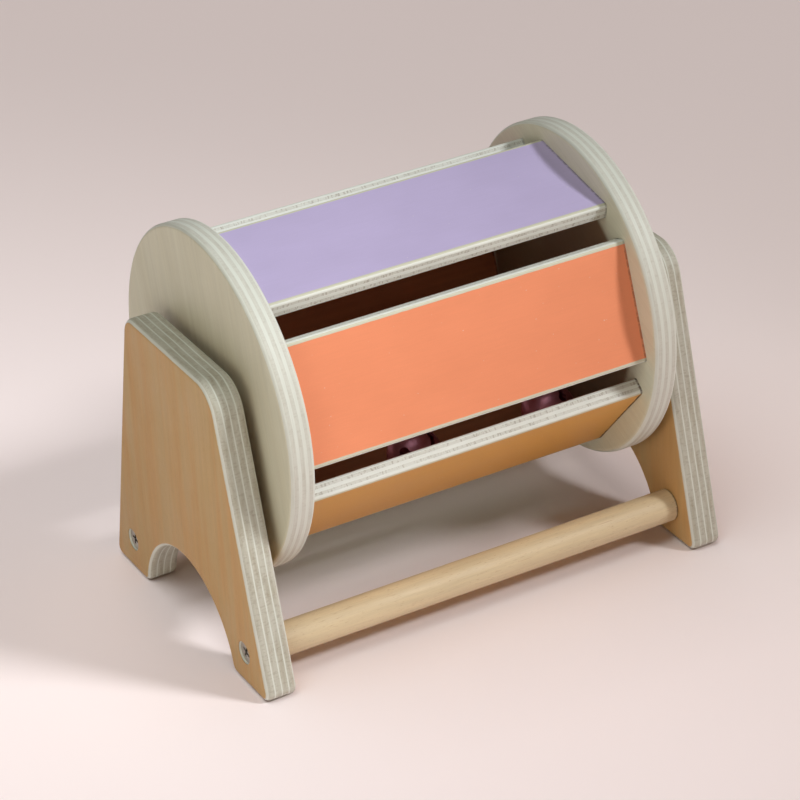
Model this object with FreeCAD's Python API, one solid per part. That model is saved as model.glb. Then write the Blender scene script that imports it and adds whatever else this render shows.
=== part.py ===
import FreeCAD, Part
import math
import os

# Infants' spinning drum: six coloured plywood slats between two plywood discs,
# turning on stub axles between two plywood stands, with two jingle bells loose inside.
# Millimetres. X runs along the drum's axle, -Y is the front, +Z is up.
# The origin is the middle of the object's footprint, on the surface it stands on.

V = FreeCAD.Vector
X_AXIS = V(1, 0, 0)

# Stands: two plywood panels, narrower at the top, each with an arch between its feet
STAND_THICKNESS = 12.0
STAND_HEIGHT = 110.5
STAND_BASE_WIDTH = 121.0
STAND_TOP_WIDTH = 66.0
STAND_CORNER_RADIUS = 13.0      # front top corner
STAND_REAR_CORNER_RADIUS = 8.0  # rear top corner
FOOT_CORNER_RADIUS = 3.5
STAND_ROUNDOVER = 2.2
ARCH_RADIUS = 34.0
ARCH_HEIGHT = 28.5

# Drum
DRUM_RADIUS = 62.5
DISC_THICKNESS = 9.5
DISC_ROUNDOVER = 1.8
CLEAR_LENGTH = 135.0          # between the two discs' inner faces
DISC_TO_STAND_GAP = 4.4
AXLE_HEIGHT = 84.5
AXLE_SETBACK = 5.5            # how far the axle lies behind the stands' middle line

# Slats: flat boards let into grooves in the discs
SLAT_NAMES = ["lilac_slat", "orange_slat", "ochre_slat", "green_slat", "blue_slat", "pink_slat"]
SLAT_WIDTH = 44.5
SLAT_THICKNESS = 6.0
SLAT_OUTER_APOTHEM = 52.4     # from the axle to the middle of a slat's outer face
SLAT_EDGE_RADIUS = 1.2
FIRST_SLAT_TILT = 78.4        # degrees from the front, over the top, to the first slat's middle
GROOVE_DEPTH = 4.0
GROOVE_CLEARANCE = 0.15

# Axles: turned pegs fixed in the discs, with a collar that keeps the drum off the stand
AXLE_RADIUS = 4.0
COLLAR_RADIUS = 8.0
COLLAR_PLAY = 0.5
AXLE_IN_DISC = 6.0
AXLE_IN_STAND = 8.0
AXLE_BORE_CLEARANCE = 0.08
AXLE_END_PLAY = 0.5

# Cross dowels between the stands, each held by a sunk screw at both ends
DOWEL_RADIUS = 6.0
DOWEL_HEIGHT = 13.0
DOWEL_OFFSET = 44.0           # in front of and behind the stands' middle line
SCREW_RADIUS = 2.0
SCREW_HEAD_RADIUS = 4.0
SCREW_HEAD_DEPTH = 2.6
SCREW_SUNK = 0.9
SCREW_LENGTH = 38.0
SUNK_HOLE_CLEARANCE = 0.25
RECESS_WIDTH = 1.1
RECESS_SPAN = 4.6
RECESS_DEPTH = 1.6

# Jingle bells: thin shells with two crossed slots, a wire loop and a loose pellet
BELL_RADIUS = 10.0
BELL_WALL = 0.7
BELL_SLOT_WIDTH = 2.0
BELL_SLOT_ANGLE = 60.0        # from the bell's pole to the round hole at a slot's end
BELL_HOLE_RADIUS = 1.75
BELL_GAP = 0.3                # between a bell and the slats that it rests between
LOOP_RADIUS = 1.9
LOOP_WIRE_RADIUS = 0.55
LOOP_SINK = 0.4
PELLET_RADIUS = 2.6
PELLET_GAP = 0.3
# each bell's place along the axle, its slotted pole, and the way one slot runs from the pole
BELLS = {
    "bell_1": (-3.5, V(0.09, -0.99, 0.12), V(0.53, 0.15, 0.83)),
    "bell_2": (53.0, V(0.27, 0.35, 0.90), V(0.13, -0.93, 0.33)),
}

# Places worked out from the sizes above
disc_inner_x = CLEAR_LENGTH / 2
disc_outer_x = disc_inner_x + DISC_THICKNESS
stand_inner_x = disc_outer_x + DISC_TO_STAND_GAP
stand_outer_x = stand_inner_x + STAND_THICKNESS
side_slope = (STAND_BASE_WIDTH - STAND_TOP_WIDTH) / 2 / STAND_HEIGHT
lost_at_foot = FOOT_CORNER_RADIUS * (side_slope + math.hypot(1, side_slope) - 1)
stand_reach = STAND_BASE_WIDTH / 2 - lost_at_foot
front_y = min(-stand_reach, AXLE_SETBACK - DRUM_RADIUS)
back_y = max(stand_reach, AXLE_SETBACK + DRUM_RADIUS)
stand_y = -(front_y + back_y) / 2
axle_y = stand_y + AXLE_SETBACK
slat_step = 360.0 / len(SLAT_NAMES)


def mirrored(shape):
    """The same piece for the other end of the drum."""
    return shape.mirror(V(0, 0, 0), X_AXIS)


def x_cylinder(radius, x_start, x_end, y, z):
    return Part.makeCylinder(radius, x_end - x_start, V(x_start, y, z), X_AXIS)


def edges_in_plane(shape, x):
    """The edges that lie in the plane at this x."""
    return [e for e in shape.Edges if abs(e.BoundBox.XMin - x) < 1e-4 and abs(e.BoundBox.XMax - x) < 1e-4]


def stand_blank():
    """The stand's panel with its rounded outline and arch, before the holes."""
    half_base = STAND_BASE_WIDTH / 2
    half_top = STAND_TOP_WIDTH / 2
    corners = [(-half_base, 0), (half_base, 0), (half_top, STAND_HEIGHT), (-half_top, STAND_HEIGHT)]
    points = [V(stand_inner_x, stand_y + y, z) for y, z in corners]
    panel = Part.Face(Part.makePolygon(points + points[:1])).extrude(X_AXIS * STAND_THICKNESS)
    arch_centre = ARCH_HEIGHT - ARCH_RADIUS
    panel = panel.cut(x_cylinder(ARCH_RADIUS, stand_inner_x - 1, stand_outer_x + 1, stand_y, arch_centre))
    for side, radius in ((-1, STAND_CORNER_RADIUS), (1, STAND_REAR_CORNER_RADIUS)):
        across = [e for e in panel.Edges if e.BoundBox.XLength > STAND_THICKNESS / 2]
        top = [e for e in across if e.BoundBox.ZMin > STAND_HEIGHT / 2]
        panel = panel.makeFillet(radius, [e for e in top if (e.BoundBox.YMin - stand_y) * side > 0])
    feet = [e for e in panel.Edges if e.BoundBox.XLength > STAND_THICKNESS / 2 and e.BoundBox.ZMax < 0.01]
    panel = panel.makeFillet(FOOT_CORNER_RADIUS, feet)
    rims = edges_in_plane(panel, stand_inner_x) + edges_in_plane(panel, stand_outer_x)
    return panel.makeFillet(STAND_ROUNDOVER, rims)


def screw_places():
    return [(stand_y + side * DOWEL_OFFSET, DOWEL_HEIGHT) for side in (-1, 1)]


def make_right_stand():
    stand = stand_blank()
    bore_radius = AXLE_RADIUS + AXLE_BORE_CLEARANCE
    bore_end = stand_inner_x + AXLE_IN_STAND + AXLE_END_PLAY
    stand = stand.cut(x_cylinder(bore_radius, stand_inner_x - 1, bore_end, axle_y, AXLE_HEIGHT))
    head_top = stand_outer_x - SCREW_SUNK
    for y, z in screw_places():
        shank_hole = x_cylinder(SCREW_RADIUS, stand_inner_x - 1, head_top, y, z)
        seat = Part.makeCone(SCREW_RADIUS, SCREW_HEAD_RADIUS, SCREW_HEAD_DEPTH,
                             V(head_top - SCREW_HEAD_DEPTH, y, z), X_AXIS)
        mouth = x_cylinder(SCREW_HEAD_RADIUS + SUNK_HOLE_CLEARANCE, head_top, stand_outer_x + 1, y, z)
        stand = stand.cut(shank_hole).cut(seat).cut(mouth)
    return stand


def make_dowel(y):
    """A dowel that butts against both stands, with a pilot hole in each end."""
    dowel = x_cylinder(DOWEL_RADIUS, -stand_inner_x, stand_inner_x, y, DOWEL_HEIGHT)
    pilot_end = stand_outer_x - SCREW_SUNK - SCREW_LENGTH
    pilot = x_cylinder(SCREW_RADIUS, pilot_end, stand_inner_x, y, DOWEL_HEIGHT)
    return dowel.cut(pilot).cut(mirrored(pilot))


def make_screw(y, z):
    """A countersunk screw with a cross recess, entering from the right-hand stand's outer face."""
    head_top = stand_outer_x - SCREW_SUNK
    shank = x_cylinder(SCREW_RADIUS, head_top - SCREW_LENGTH, head_top - SCREW_HEAD_DEPTH, y, z)
    head = Part.makeCone(SCREW_RADIUS, SCREW_HEAD_RADIUS, SCREW_HEAD_DEPTH,
                         V(head_top - SCREW_HEAD_DEPTH, y, z), X_AXIS)
    screw = shank.fuse(head)
    for wide, tall in ((RECESS_SPAN, RECESS_WIDTH), (RECESS_WIDTH, RECESS_SPAN)):
        corner = V(head_top - RECESS_DEPTH, y - wide / 2, z - tall / 2)
        screw = screw.cut(Part.makeBox(RECESS_DEPTH + 1, wide, tall, corner))
    return screw.removeSplitter()


def make_foot_screws():
    right = [make_screw(y, z) for y, z in screw_places()]
    return Part.makeCompound(right + [mirrored(screw) for screw in right])


def slat_bar(index, x_start, x_end, grow):
    """A bar with a slat's cross-section, grown on every side by the given clearance."""
    thick = SLAT_THICKNESS + 2 * grow
    wide = SLAT_WIDTH + 2 * grow
    low_z = SLAT_OUTER_APOTHEM - SLAT_THICKNESS - grow
    bar = Part.makeBox(x_end - x_start, wide, thick, V(x_start, -wide / 2, low_z))
    long_edges = [e for e in bar.Edges if e.BoundBox.XLength > (x_end - x_start) / 2]
    bar = bar.makeFillet(SLAT_EDGE_RADIUS + grow, long_edges)
    turn = 90 - FIRST_SLAT_TILT + index * slat_step
    bar.rotate(V(0, 0, 0), X_AXIS, turn)
    bar.translate(V(0, axle_y, AXLE_HEIGHT))
    return bar


def make_slat(index):
    end_x = disc_inner_x + GROOVE_DEPTH
    return slat_bar(index, -end_x, end_x, 0)


def make_right_disc():
    disc = x_cylinder(DRUM_RADIUS, disc_inner_x, disc_outer_x, axle_y, AXLE_HEIGHT)
    rims = edges_in_plane(disc, disc_inner_x) + edges_in_plane(disc, disc_outer_x)
    disc = disc.makeFillet(DISC_ROUNDOVER, rims)
    for index in range(len(SLAT_NAMES)):
        groove = slat_bar(index, disc_inner_x - 5, disc_inner_x + GROOVE_DEPTH, GROOVE_CLEARANCE)
        disc = disc.cut(groove)
    socket = x_cylinder(AXLE_RADIUS, disc_outer_x - AXLE_IN_DISC, disc_outer_x + 1, axle_y, AXLE_HEIGHT)
    return disc.cut(socket)


def make_right_axle():
    """The peg, from its end in the disc to its end in the stand, with the collar between them."""
    peg = x_cylinder(AXLE_RADIUS, disc_outer_x - AXLE_IN_DISC, stand_inner_x + AXLE_IN_STAND,
                     axle_y, AXLE_HEIGHT)
    collar = x_cylinder(COLLAR_RADIUS, disc_outer_x, stand_inner_x - COLLAR_PLAY, axle_y, AXLE_HEIGHT)
    return peg.fuse(collar).removeSplitter()


def across_drum(angle, radius):
    """A direction and distance from the axle, in the plane across the drum (0 degrees is the front)."""
    turn = math.radians(angle)
    return V(0, -math.cos(turn) * radius, math.sin(turn) * radius)


def bell_rest():
    """Where a bell's centre rests: between the front bottom slat and the bottom slat."""
    gap_angle = FIRST_SLAT_TILT - 2.5 * slat_step
    half_step = math.radians(slat_step / 2)
    inner_apothem = SLAT_OUTER_APOTHEM - SLAT_THICKNESS
    corner_out = inner_apothem * math.cos(half_step) + SLAT_WIDTH / 2 * math.sin(half_step)
    corner_aside = inner_apothem * math.sin(half_step) - SLAT_WIDTH / 2 * math.cos(half_step)
    reach = BELL_RADIUS + BELL_GAP
    return across_drum(gap_angle, corner_out - math.sqrt(reach ** 2 - corner_aside ** 2))


def bell_centre(name):
    return V(BELLS[name][0], axle_y, AXLE_HEIGHT) + bell_rest()


def placed_bell_piece(name, piece):
    """Turns a piece made about the origin, pole up, to the bell's own pole and slot, and moves it."""
    pole, slot = BELLS[name][1], BELLS[name][2]
    turn = FreeCAD.Rotation(slot, V(0, 0, 0), pole, "ZXY")
    piece.Placement = FreeCAD.Placement(bell_centre(name), turn).multiply(piece.Placement)
    return piece


def bell_ball(radius):
    """A ball whose poles lie between the slots and well away from the loop."""
    return Part.makeSphere(radius, V(0, 0, 0), V(1, 1, 0))


def make_bell_shell(name):
    shell = bell_ball(BELL_RADIUS).cut(bell_ball(BELL_RADIUS - BELL_WALL))
    slot_angle = math.radians(BELL_SLOT_ANGLE)
    slot_low = BELL_RADIUS * math.cos(slot_angle)
    span = 2 * BELL_RADIUS
    for wide, deep in ((span, BELL_SLOT_WIDTH), (BELL_SLOT_WIDTH, span)):
        shell = shell.cut(Part.makeBox(wide, deep, span, V(-wide / 2, -deep / 2, slot_low)))
    for quarter in range(4):
        way = V(math.sin(slot_angle), 0, math.cos(slot_angle))
        way = FreeCAD.Rotation(V(0, 0, 1), 90 * quarter).multVec(way)
        shell = shell.cut(Part.makeCylinder(BELL_HOLE_RADIUS, span, way * (BELL_RADIUS / 2), way))
    return placed_bell_piece(name, shell)


def make_bell_loop(name):
    """A wire ring standing on the shell opposite the slots."""
    centre = V(0, 0, -(BELL_RADIUS + LOOP_RADIUS - LOOP_SINK))
    ring = Part.makeTorus(LOOP_RADIUS, LOOP_WIRE_RADIUS, centre, V(0, 1, 0))
    ring = ring.cut(bell_ball(BELL_RADIUS))
    return placed_bell_piece(name, ring)


def make_pellet(name):
    """The loose pellet, lying at the bell's lowest inner point along the bell's own way across the drum."""
    drop = bell_rest().normalize() * (BELL_RADIUS - BELL_WALL - PELLET_RADIUS - PELLET_GAP)
    return Part.makeSphere(PELLET_RADIUS, bell_centre(name) + drop)


def all_nodes():
    nodes = {"right_stand": make_right_stand(), "right_disc": make_right_disc(), "right_axle": make_right_axle()}
    for name in ("stand", "disc", "axle"):
        nodes["left_" + name] = mirrored(nodes["right_" + name])
    nodes["front_dowel"] = make_dowel(stand_y - DOWEL_OFFSET)
    nodes["rear_dowel"] = make_dowel(stand_y + DOWEL_OFFSET)
    nodes["foot_screws"] = make_foot_screws()
    for index, name in enumerate(SLAT_NAMES):
        nodes[name] = make_slat(index)
    for name in BELLS:
        nodes[name + "_shell"] = make_bell_shell(name)
        nodes[name + "_loop"] = make_bell_loop(name)
        nodes[name + "_pellet"] = make_pellet(name)
    return nodes


os.makedirs("parts", exist_ok=True)
for node, shape in all_nodes().items():
    shape.exportStep("parts/" + node + ".step")
    box = shape.BoundBox
    print(node, len(shape.Solids), "solid", shape.isValid(), round(shape.Volume, 1),
          [round(q, 2) for q in (box.XMin, box.XMax, box.YMin, box.YMax, box.ZMin, box.ZMax)])
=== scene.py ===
import math

import bmesh
import bpy
from bpy.props import FloatProperty, FloatVectorProperty, IntProperty, PointerProperty
from mathutils import Matrix, Vector


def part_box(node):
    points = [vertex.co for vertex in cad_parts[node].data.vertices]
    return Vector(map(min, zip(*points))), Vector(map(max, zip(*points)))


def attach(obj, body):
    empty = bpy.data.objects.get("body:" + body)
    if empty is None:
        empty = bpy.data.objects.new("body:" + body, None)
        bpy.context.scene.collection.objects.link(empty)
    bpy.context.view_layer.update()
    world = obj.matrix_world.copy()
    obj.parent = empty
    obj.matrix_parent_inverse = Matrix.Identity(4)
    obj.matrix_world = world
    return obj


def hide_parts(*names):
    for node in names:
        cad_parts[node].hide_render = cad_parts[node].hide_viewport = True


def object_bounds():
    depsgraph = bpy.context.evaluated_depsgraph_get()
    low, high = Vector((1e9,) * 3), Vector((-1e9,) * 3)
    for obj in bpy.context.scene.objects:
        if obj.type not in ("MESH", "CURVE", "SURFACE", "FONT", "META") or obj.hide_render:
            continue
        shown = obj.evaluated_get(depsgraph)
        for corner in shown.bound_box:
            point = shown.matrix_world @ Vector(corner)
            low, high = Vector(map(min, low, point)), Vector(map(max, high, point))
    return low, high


bl_info = {
    "name": "Spinning drum",
    "version": (1, 0, 0),
    "blender": (4, 5, 0),
    "location": "3D View > Sidebar > Spinning drum",
    "description": "Builds the looks of a wooden spinning drum around its packed CAD parts",
    "category": "Object",
}

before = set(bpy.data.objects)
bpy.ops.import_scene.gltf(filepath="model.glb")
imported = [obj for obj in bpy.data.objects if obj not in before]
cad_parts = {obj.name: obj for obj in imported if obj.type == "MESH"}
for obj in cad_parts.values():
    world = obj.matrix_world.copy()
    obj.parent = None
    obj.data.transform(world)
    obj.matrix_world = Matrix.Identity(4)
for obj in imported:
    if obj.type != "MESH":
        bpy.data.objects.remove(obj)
CAD_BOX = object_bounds()

MM = 0.001
ALONG = Vector((1, 0, 0))           # the drum's axle
UPRIGHT = Vector((0, 0, 1))
SLATS = ["lilac", "orange", "ochre", "green", "blue", "pink"]
SHARP_ANGLE = math.radians(35)
MERGE_DISTANCE = 1e-6

STAND_PLIES, DISC_PLIES, SLAT_PLIES = 9, 7, 5
DISC_LEAN = {"left": 12, "right": 65}    # degrees from upright to each disc's grain
PATTERN_STEP = 0.2                       # between the slats' cuts from one pattern
DOWEL_EASE = 0.4 * MM                    # small bevels on the turned pieces
AXLE_EASE = 0.5 * MM
COLLAR_WIDTH = 3.9 * MM
PLY_RELIEF, TURNED_RELIEF, METAL_RELIEF, PAPER_RELIEF = 0.12 * MM, 0.1 * MM, 0.03 * MM, 0.05 * MM
JOINT_SHADE = (0.06, 0.03, 0.02, 1.0)    # inside the fine gaps where pieces meet
RING_SHADE = (0.12, 0.06, 0.03, 1.0)
NIB_TONE = (0.86, 0.83, 0.80, 1.0)
DOT_TINT = (0.60, 0.50, 0.44, 1.0)
CORE_RADIUS = 0.1 * MM                   # faces this near a disc's axis are left over from its sweep
CORE_MERGE = 0.01 * MM
BORE_SLICES, SCREW_SLICES, SCREW_RINGS = 48, 32, 200
THREAD_START, THREAD_FULL = 11 * MM, 13 * MM
SCREW_TIP = 0.04                         # share of the shank's radius that is left at the tip
FLOOR_REACH = 8.0
KEY_CONE, BACKDROP_SPREAD = math.radians(23), math.radians(70)
KEY_AIM = Vector((-0.125, -0.01, 0.075))
SENSOR_WIDTH = 36.0
ROOM_TINT = (1.0, 0.60, 0.38, 1.0)
ROOM_SEEN = 0.85                         # strength of the background that the camera sees
CAMERA_PLACE = Vector((-0.47539, -0.88290, 0.62537))
CAMERA_AXES = (Vector((0.86788, -0.49467, -0.04560)), Vector((0.27789, 0.40736, 0.86996)),
               Vector((-0.41177, -0.76770, 0.49100)))    # right, up and back


def middle(node):
    low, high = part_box(node)
    return (low + high) / 2


def extent(node):
    low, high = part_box(node)
    return high - low


AXLE_MIDDLE = Vector((0, middle("right_disc").y, middle("right_disc").z))


# ---------------------------------------------------------------- sizes and finishes

def length(name, text, default):
    return FloatProperty(name=name, description=text, default=default, min=0, unit="LENGTH", precision=5)


def power(name, text, default):
    return FloatProperty(name=name, description=text, default=default, min=0, subtype="POWER")


def colour(name, text, default):
    return FloatVectorProperty(name=name, description=text, default=default, size=3, min=0, max=1,
                               subtype="COLOR")


class SPINDRUM_Sizes(bpy.types.PropertyGroup):
    """Sizes of the pieces that the CAD boxes do not give by themselves."""
    slat_width: length("Slat width", "Across a slat's painted face", 0.0445)
    slat_thickness: length("Slat thickness", "Through a slat", 0.006)
    slat_edge_radius: length("Slat edge radius", "Rounding of a slat's long edges", 0.0012)
    slat_apothem: length("Slat distance", "From the axle to the middle of a slat's painted face", 0.0524)
    first_turn: FloatProperty(name="First slat's turn", description="Turn of the lilac slat about the axle",
                              default=math.radians(11.6), unit="ROTATION")
    groove_clearance: length("Groove clearance", "Room round a slat's end in the disc", 0.00015)
    disc_roundover: length("Disc roundover", "Rounding of the discs' rims", 0.0018)
    axle_radius: length("Axle radius", "Radius of the stub axles", 0.004)
    socket_depth: length("Axle socket depth", "How deep a stub axle goes into its disc", 0.006)
    collar_radius: length("Collar radius", "Radius of the collar between disc and stand", 0.008)
    screw_radius: length("Screw radius", "Radius of the screws' shanks", 0.002)
    screw_head_radius: length("Screw head radius", "Radius of the screws' heads", 0.004)
    screw_head_depth: length("Screw head depth", "Depth of the screws' countersunk heads", 0.0026)
    recess_width: length("Recess width", "Width of each arm of the screws' cross recess", 0.0011)
    recess_span: length("Recess span", "Length of each arm of the screws' cross recess", 0.0046)
    recess_depth: length("Recess depth", "Depth of the screws' cross recess", 0.0016)


class SPINDRUM_Finishes(bpy.types.PropertyGroup):
    """Colours of the woods, paints and metals, and of the painted shade inside the drum."""
    lilac: colour("Lilac paint", "Paint on the top slat", (0.56, 0.48, 0.75))
    orange: colour("Orange paint", "Paint on the front slat", (0.89, 0.30, 0.15))
    ochre: colour("Ochre paint", "Paint on the lower front slat", (0.74, 0.38, 0.09))
    green: colour("Green paint", "Paint on the bottom slat", (0.33, 0.47, 0.27))
    blue: colour("Blue paint", "Paint on the lower back slat", (0.24, 0.42, 0.58))
    pink: colour("Pink paint", "Paint on the upper back slat", (0.74, 0.33, 0.40))
    stand_face: colour("Stand face", "Face veneer of the stands", (0.54, 0.32, 0.125))
    stand_streak: colour("Stand streaks", "Paler streaks in the stands' face veneer", (0.52, 0.365, 0.17))
    birch_face: colour("Birch face", "Veneer of the discs and of the slats' bare margins", (0.65, 0.64, 0.51))
    birch_streak: colour("Birch streaks", "Streaks in the birch veneer", (0.61, 0.58, 0.44))
    # Slat backs: bare wood, made darker and redder with painted shade and painted orange bounce light from
    # inside the drum.
    slat_back: colour("Slat backs", "Bare inner faces of the slats", (0.56, 0.22, 0.10))
    slat_back_streak: colour("Slat back streaks", "Streaks in the slats' inner faces", (0.44, 0.16, 0.07))
    ply_light: colour("Light plies", "Plies that run along an edge", (0.70, 0.72, 0.66))
    ply_dark: colour("Dark plies", "Plies that show their end grain", (0.43, 0.38, 0.31))
    # Painted shade: the inside colour darkens the discs' inner faces within the slats, for the shade inside
    # the drum.
    inside: colour("Inside of the discs", "Bare wood of the discs inside the drum", (0.19, 0.10, 0.04))
    slat_edge: colour("Slat edges", "Pale plies of the slats' edges", (0.80, 0.82, 0.77))
    stand_dark: colour("Stand plies", "Dark plies of the stands' edges", (0.39, 0.35, 0.26))
    dowel: colour("Dowel wood", "Wood of the dowels and axles", (0.67, 0.54, 0.35))
    dowel_fleck: colour("Dowel flecks", "Flecks in the dowels' wood", (0.42, 0.22, 0.11))
    steel: colour("Steel", "Metal of the screws and pellets", (0.52, 0.50, 0.47))
    bell: colour("Bell metal", "Metal of the jingle bells", (0.72, 0.30, 0.40))
    floor: colour("Floor", "Colour of the floor", (0.93, 0.82, 0.82))


class SPINDRUM_Stage(bpy.types.PropertyGroup):
    """Lamps and camera."""
    key_power: power("Key lamp", "Power of the lamp at the front right", 104.0)
    top_power: power("Top lamp", "Power of the lamp overhead", 6.0)
    side_power: power("Side lamp", "Power of the lamp at the left, which leaves the floor out", 0.72)
    warm_power: power("Warm lamp", "Power of the weak warm lamp at the right", 0.14)
    rear_power: power("Rear lamp", "Power of the lamp behind", 1.0)
    backdrop_strength: FloatProperty(name="Floor light", description="Strength of the floor's own light",
                                     default=1.3, min=0)
    sky: FloatProperty(name="Room light", description="Strength of the even light all round", default=0.08,
                       min=0)
    lens: FloatProperty(name="Lens", description="The camera's focal length in millimetres", default=144.38,
                        min=1)
    slices: IntProperty(name="Slices", description="Segments round the discs' rims", default=192, min=24)


# ---------------------------------------------------------------- node helpers

class Graph:
    """Adds nodes to a tree. A value that is a socket gets linked, and any other value is set."""

    def __init__(self, tree):
        self.tree = tree

    def feed(self, socket, value):
        if isinstance(value, list):
            for one in value:
                self.tree.links.new(one, socket)
        elif isinstance(value, bpy.types.NodeSocket):
            self.tree.links.new(value, socket)
        else:
            socket.default_value = value

    def add(self, kind, inputs=None, **settings):
        node = self.tree.nodes.new(kind)
        for name, value in settings.items():
            setattr(node, name, value)
        for key, value in (inputs or {}).items():
            self.feed(node.inputs[key], value)
        return node

    def put(self, kind, inputs=None, **settings):
        """Adds a node and gives its first output."""
        return self.add(kind, inputs, **settings).outputs[0]

    def geo(self, kind, inputs=None, **settings):
        """Adds a geometry node, named without its prefix, and gives its first output."""
        return self.put("GeometryNode" + kind, inputs, **settings)

    def math(self, operation, first, second=0.0, third=0.0):
        return self.put("ShaderNodeMath", {0: first, 1: second, 2: third}, operation=operation)

    def times(self, product, *factors):
        for factor in factors:
            product = self.math("MULTIPLY", product, factor)
        return product

    def vector(self, x, y, z):
        return self.put("ShaderNodeCombineXYZ", {0: x, 1: y, 2: z})

    def split(self, vector):
        return self.add("ShaderNodeSeparateXYZ", {0: vector}).outputs

    def from_axis(self, point):
        """How far a point is from the Z axis."""
        spot = self.split(point)
        return self.math("SQRT", self.math("MULTIPLY_ADD", spot[0], spot[0], self.times(spot[1], spot[1])))

    def rise(self, value, low, high):
        """0 below low and 1 above high, with a smooth step between them."""
        return self.put("ShaderNodeMapRange", {0: value, 1: low, 2: high},
                        interpolation_type="SMOOTHSTEP")

    def between(self, value, low, high):
        """Stretches 0..1 to low..high."""
        return self.put("ShaderNodeMapRange", {0: value, 3: low, 4: high})

    def mixed(self, factor, first, second, how="MIX"):
        return self.add("ShaderNodeMix", {0: factor, 6: first, 7: second},
                        data_type="RGBA", blend_type=how).outputs[2]

    def mixed_value(self, factor, first, second):
        return self.put("ShaderNodeMix", {0: factor, 2: first, 3: second})

    def noise(self, point, per_mm, detail=2.0, roughness=0.5, shift=0.0):
        """Noise with its own frequency along each axis."""
        scaled = self.put("ShaderNodeVectorMath", {0: point, 1: per_mm}, operation="MULTIPLY")
        moved = self.put("ShaderNodeVectorMath", {0: scaled, 1: (shift, shift * 1.7, shift * 0.6)},
                         operation="ADD")
        return self.put("ShaderNodeTexNoise", {"Vector": moved, "Scale": 1.0, "Detail": detail,
                                               "Roughness": roughness})

    def lighter(self, tone, value, amount):
        """A colour made up to amount lighter or darker as value runs from 1 to 0."""
        grey = self.between(value, 1 - amount, 1 + amount)
        return self.mixed(1.0, tone, self.vector(grey, grey, grey), "MULTIPLY")


def new_group(name, kind, inlets, outlets):
    """An empty node group, as (graph, its inputs, its outputs).

    inlets maps a socket's name to its default number or its kind, and outlets to its kind.
    """
    tree = bpy.data.node_groups.new(name, kind)
    for way, sockets in (("INPUT", inlets), ("OUTPUT", outlets)):
        for label, default in sockets.items():
            is_kind = isinstance(default, str)
            socket_kind = default if is_kind else type(default).__name__.capitalize()
            socket = tree.interface.new_socket(name=label, in_out=way,
                                               socket_type="NodeSocket" + socket_kind)
            if not is_kind:
                socket.default_value = default
    graph = Graph(tree)
    return graph, graph.add("NodeGroupInput").outputs, graph.add("NodeGroupOutput").inputs


def opaque(tone):
    return (tone[0], tone[1], tone[2], 1.0)


# ---------------------------------------------------------------- shader groups

def make_grain_group():
    """Wood veneer: broad streaks, fine lines and pores, all drawn out along X, in millimetres."""
    graph, given, out = new_group(
        "Wood grain", "ShaderNodeTree",
        {"Point": "Vector", "Base": "Color", "Streak": "Color", "Pore": "Color", "Streak Amount": 0.7,
         "Line Amount": 0.08, "Pore Amount": 0.3},
        {"Color": "Color", "Height": "Float"})
    point = given["Point"]
    broad = graph.rise(graph.noise(point, (0.012, 0.13, 0.13), 3, 0.55), 0.36, 0.66)
    band = graph.noise(point, (0.02, 0.45, 0.45), 3, 0.6, 7.0)
    line = graph.noise(point, (0.06, 2.4, 2.4), 3, 0.6, 13.0)
    pore = graph.rise(graph.noise(point, (0.35, 4.6, 4.6), 1, 0.5, 21.0), 0.66, 0.74)
    tone = graph.mixed(graph.times(broad, given["Streak Amount"]), given["Base"], given["Streak"])
    for value, share in ((band, 1.2), (line, 1.0)):
        amount = graph.times(given["Line Amount"], share)
        swing = graph.math("MULTIPLY_ADD", graph.math("SUBTRACT", value, 0.5),
                           graph.times(amount, 2.0), 1.0)
        tone = graph.mixed(1.0, tone, graph.vector(swing, swing, swing), "MULTIPLY")
    tone = graph.mixed(graph.times(pore, given["Pore Amount"]), tone, given["Pore"])
    graph.feed(out["Color"], tone)
    graph.feed(out["Height"], graph.math("SUBTRACT", line, graph.times(pore, 0.6)))
    return graph.tree


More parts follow.
